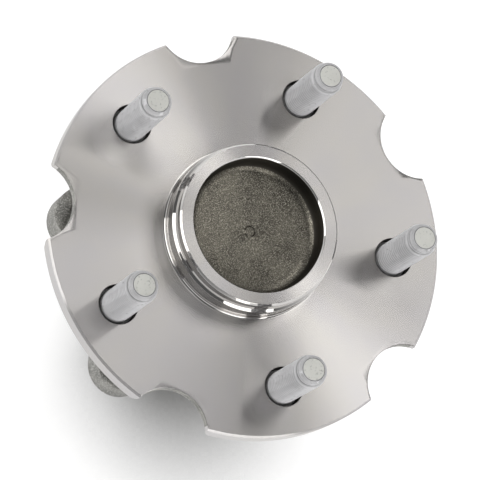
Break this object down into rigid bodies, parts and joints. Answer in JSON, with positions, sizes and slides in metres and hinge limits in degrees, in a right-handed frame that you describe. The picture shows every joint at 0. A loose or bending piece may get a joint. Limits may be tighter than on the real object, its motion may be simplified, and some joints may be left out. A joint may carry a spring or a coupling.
{
  "type": "wheel hub bearing",
  "caption": "Rear wheel hub unit: scalloped stud flange with a stepped pilot, turning on sealed ball rows in an outer ring with bolting ears and a speed-sensor cap.",
  "frame": {"origin": "centre of the face that the wheel clamps against, on the spin axis", "axes": "+Z along the spin axis towards the wheel; +X along the longer side of the knuckle's bolt rectangle, away from the connector's mouth"},
  "size_m": [0.15, 0.1494, 0.1208],
  "materials": {
    "hub_steel": "turned bright, light oil",
    "stud_zinc": "satin zinc coating",
    "race_steel": "ground",
    "nut_steel": "phosphated",
    "case_steel": "cold-drawn sheet",
    "cap_steel": "zinc-plated sheet",
    "forged_steel": "as forged and shot-blasted, machined where it fits",
    "ball_steel": "polished",
    "cage_polyamide": "moulded",
    "seal_rubber": "moulded nitrile",
    "encoder_ferrite": "magnet-filled rubber",
    "sensor_plastic": "moulded, fine texture",
    "chip_resin": "potted",
    "terminal_brass": "tinned blade"
  },
  "bodies": {
    "outer_ring": {"bearing_housing": "forged_steel", "seal_case": "case_steel", "seal_lips": "seal_rubber", "sensor_cap": "cap_steel", "sensor_body": "sensor_plastic", "sensor_element": "chip_resin", "sensor_terminal_1": "terminal_brass", "sensor_terminal_2": "terminal_brass"},
    "hub": {"wheel_hub": "hub_steel", "wheel_stud_1": "stud_zinc", "wheel_stud_2": "stud_zinc", "wheel_stud_3": "stud_zinc", "wheel_stud_4": "stud_zinc", "wheel_stud_5": "stud_zinc", "inner_ring": "race_steel", "lock_nut": "nut_steel", "encoder_carrier": "case_steel", "encoder_magnet": "encoder_ferrite"},
    "outboard_balls": {"outboard_cage": "cage_polyamide", "outboard_ball_1": "ball_steel", "outboard_ball_2": "ball_steel", "outboard_ball_3": "ball_steel", "outboard_ball_4": "ball_steel", "outboard_ball_5": "ball_steel", "outboard_ball_6": "ball_steel", "outboard_ball_7": "ball_steel", "outboard_ball_8": "ball_steel", "outboard_ball_9": "ball_steel", "outboard_ball_10": "ball_steel", "outboard_ball_11": "ball_steel", "outboard_ball_12": "ball_steel"},
    "inboard_balls": {"inboard_cage": "cage_polyamide", "inboard_ball_1": "ball_steel", "inboard_ball_2": "ball_steel", "inboard_ball_3": "ball_steel", "inboard_ball_4": "ball_steel", "inboard_ball_5": "ball_steel", "inboard_ball_6": "ball_steel", "inboard_ball_7": "ball_steel", "inboard_ball_8": "ball_steel", "inboard_ball_9": "ball_steel", "inboard_ball_10": "ball_steel", "inboard_ball_11": "ball_steel", "inboard_ball_12": "ball_steel"}
  },
  "joints": [
    {"name": "hub_spin", "type": "hinge", "parent": "outer_ring", "child": "hub", "pos_m": [0, 0, 0], "axis": [0, 0, 1], "continuous": true},
    {"name": "outboard_row_orbit", "type": "hinge", "parent": "outer_ring", "child": "outboard_balls", "pos_m": [0, 0, -0.0295], "axis": [0, 0, 1], "continuous": true},
    {"name": "inboard_row_orbit", "type": "hinge", "parent": "outer_ring", "child": "inboard_balls", "pos_m": [0, 0, -0.0515], "axis": [0, 0, 1], "continuous": true}
  ],
  "couplings": [
    {"joint": "outboard_row_orbit", "follows": "hub_spin", "ratio": 0.4137},
    {"joint": "inboard_row_orbit", "follows": "hub_spin", "ratio": 0.4137}
  ]
}
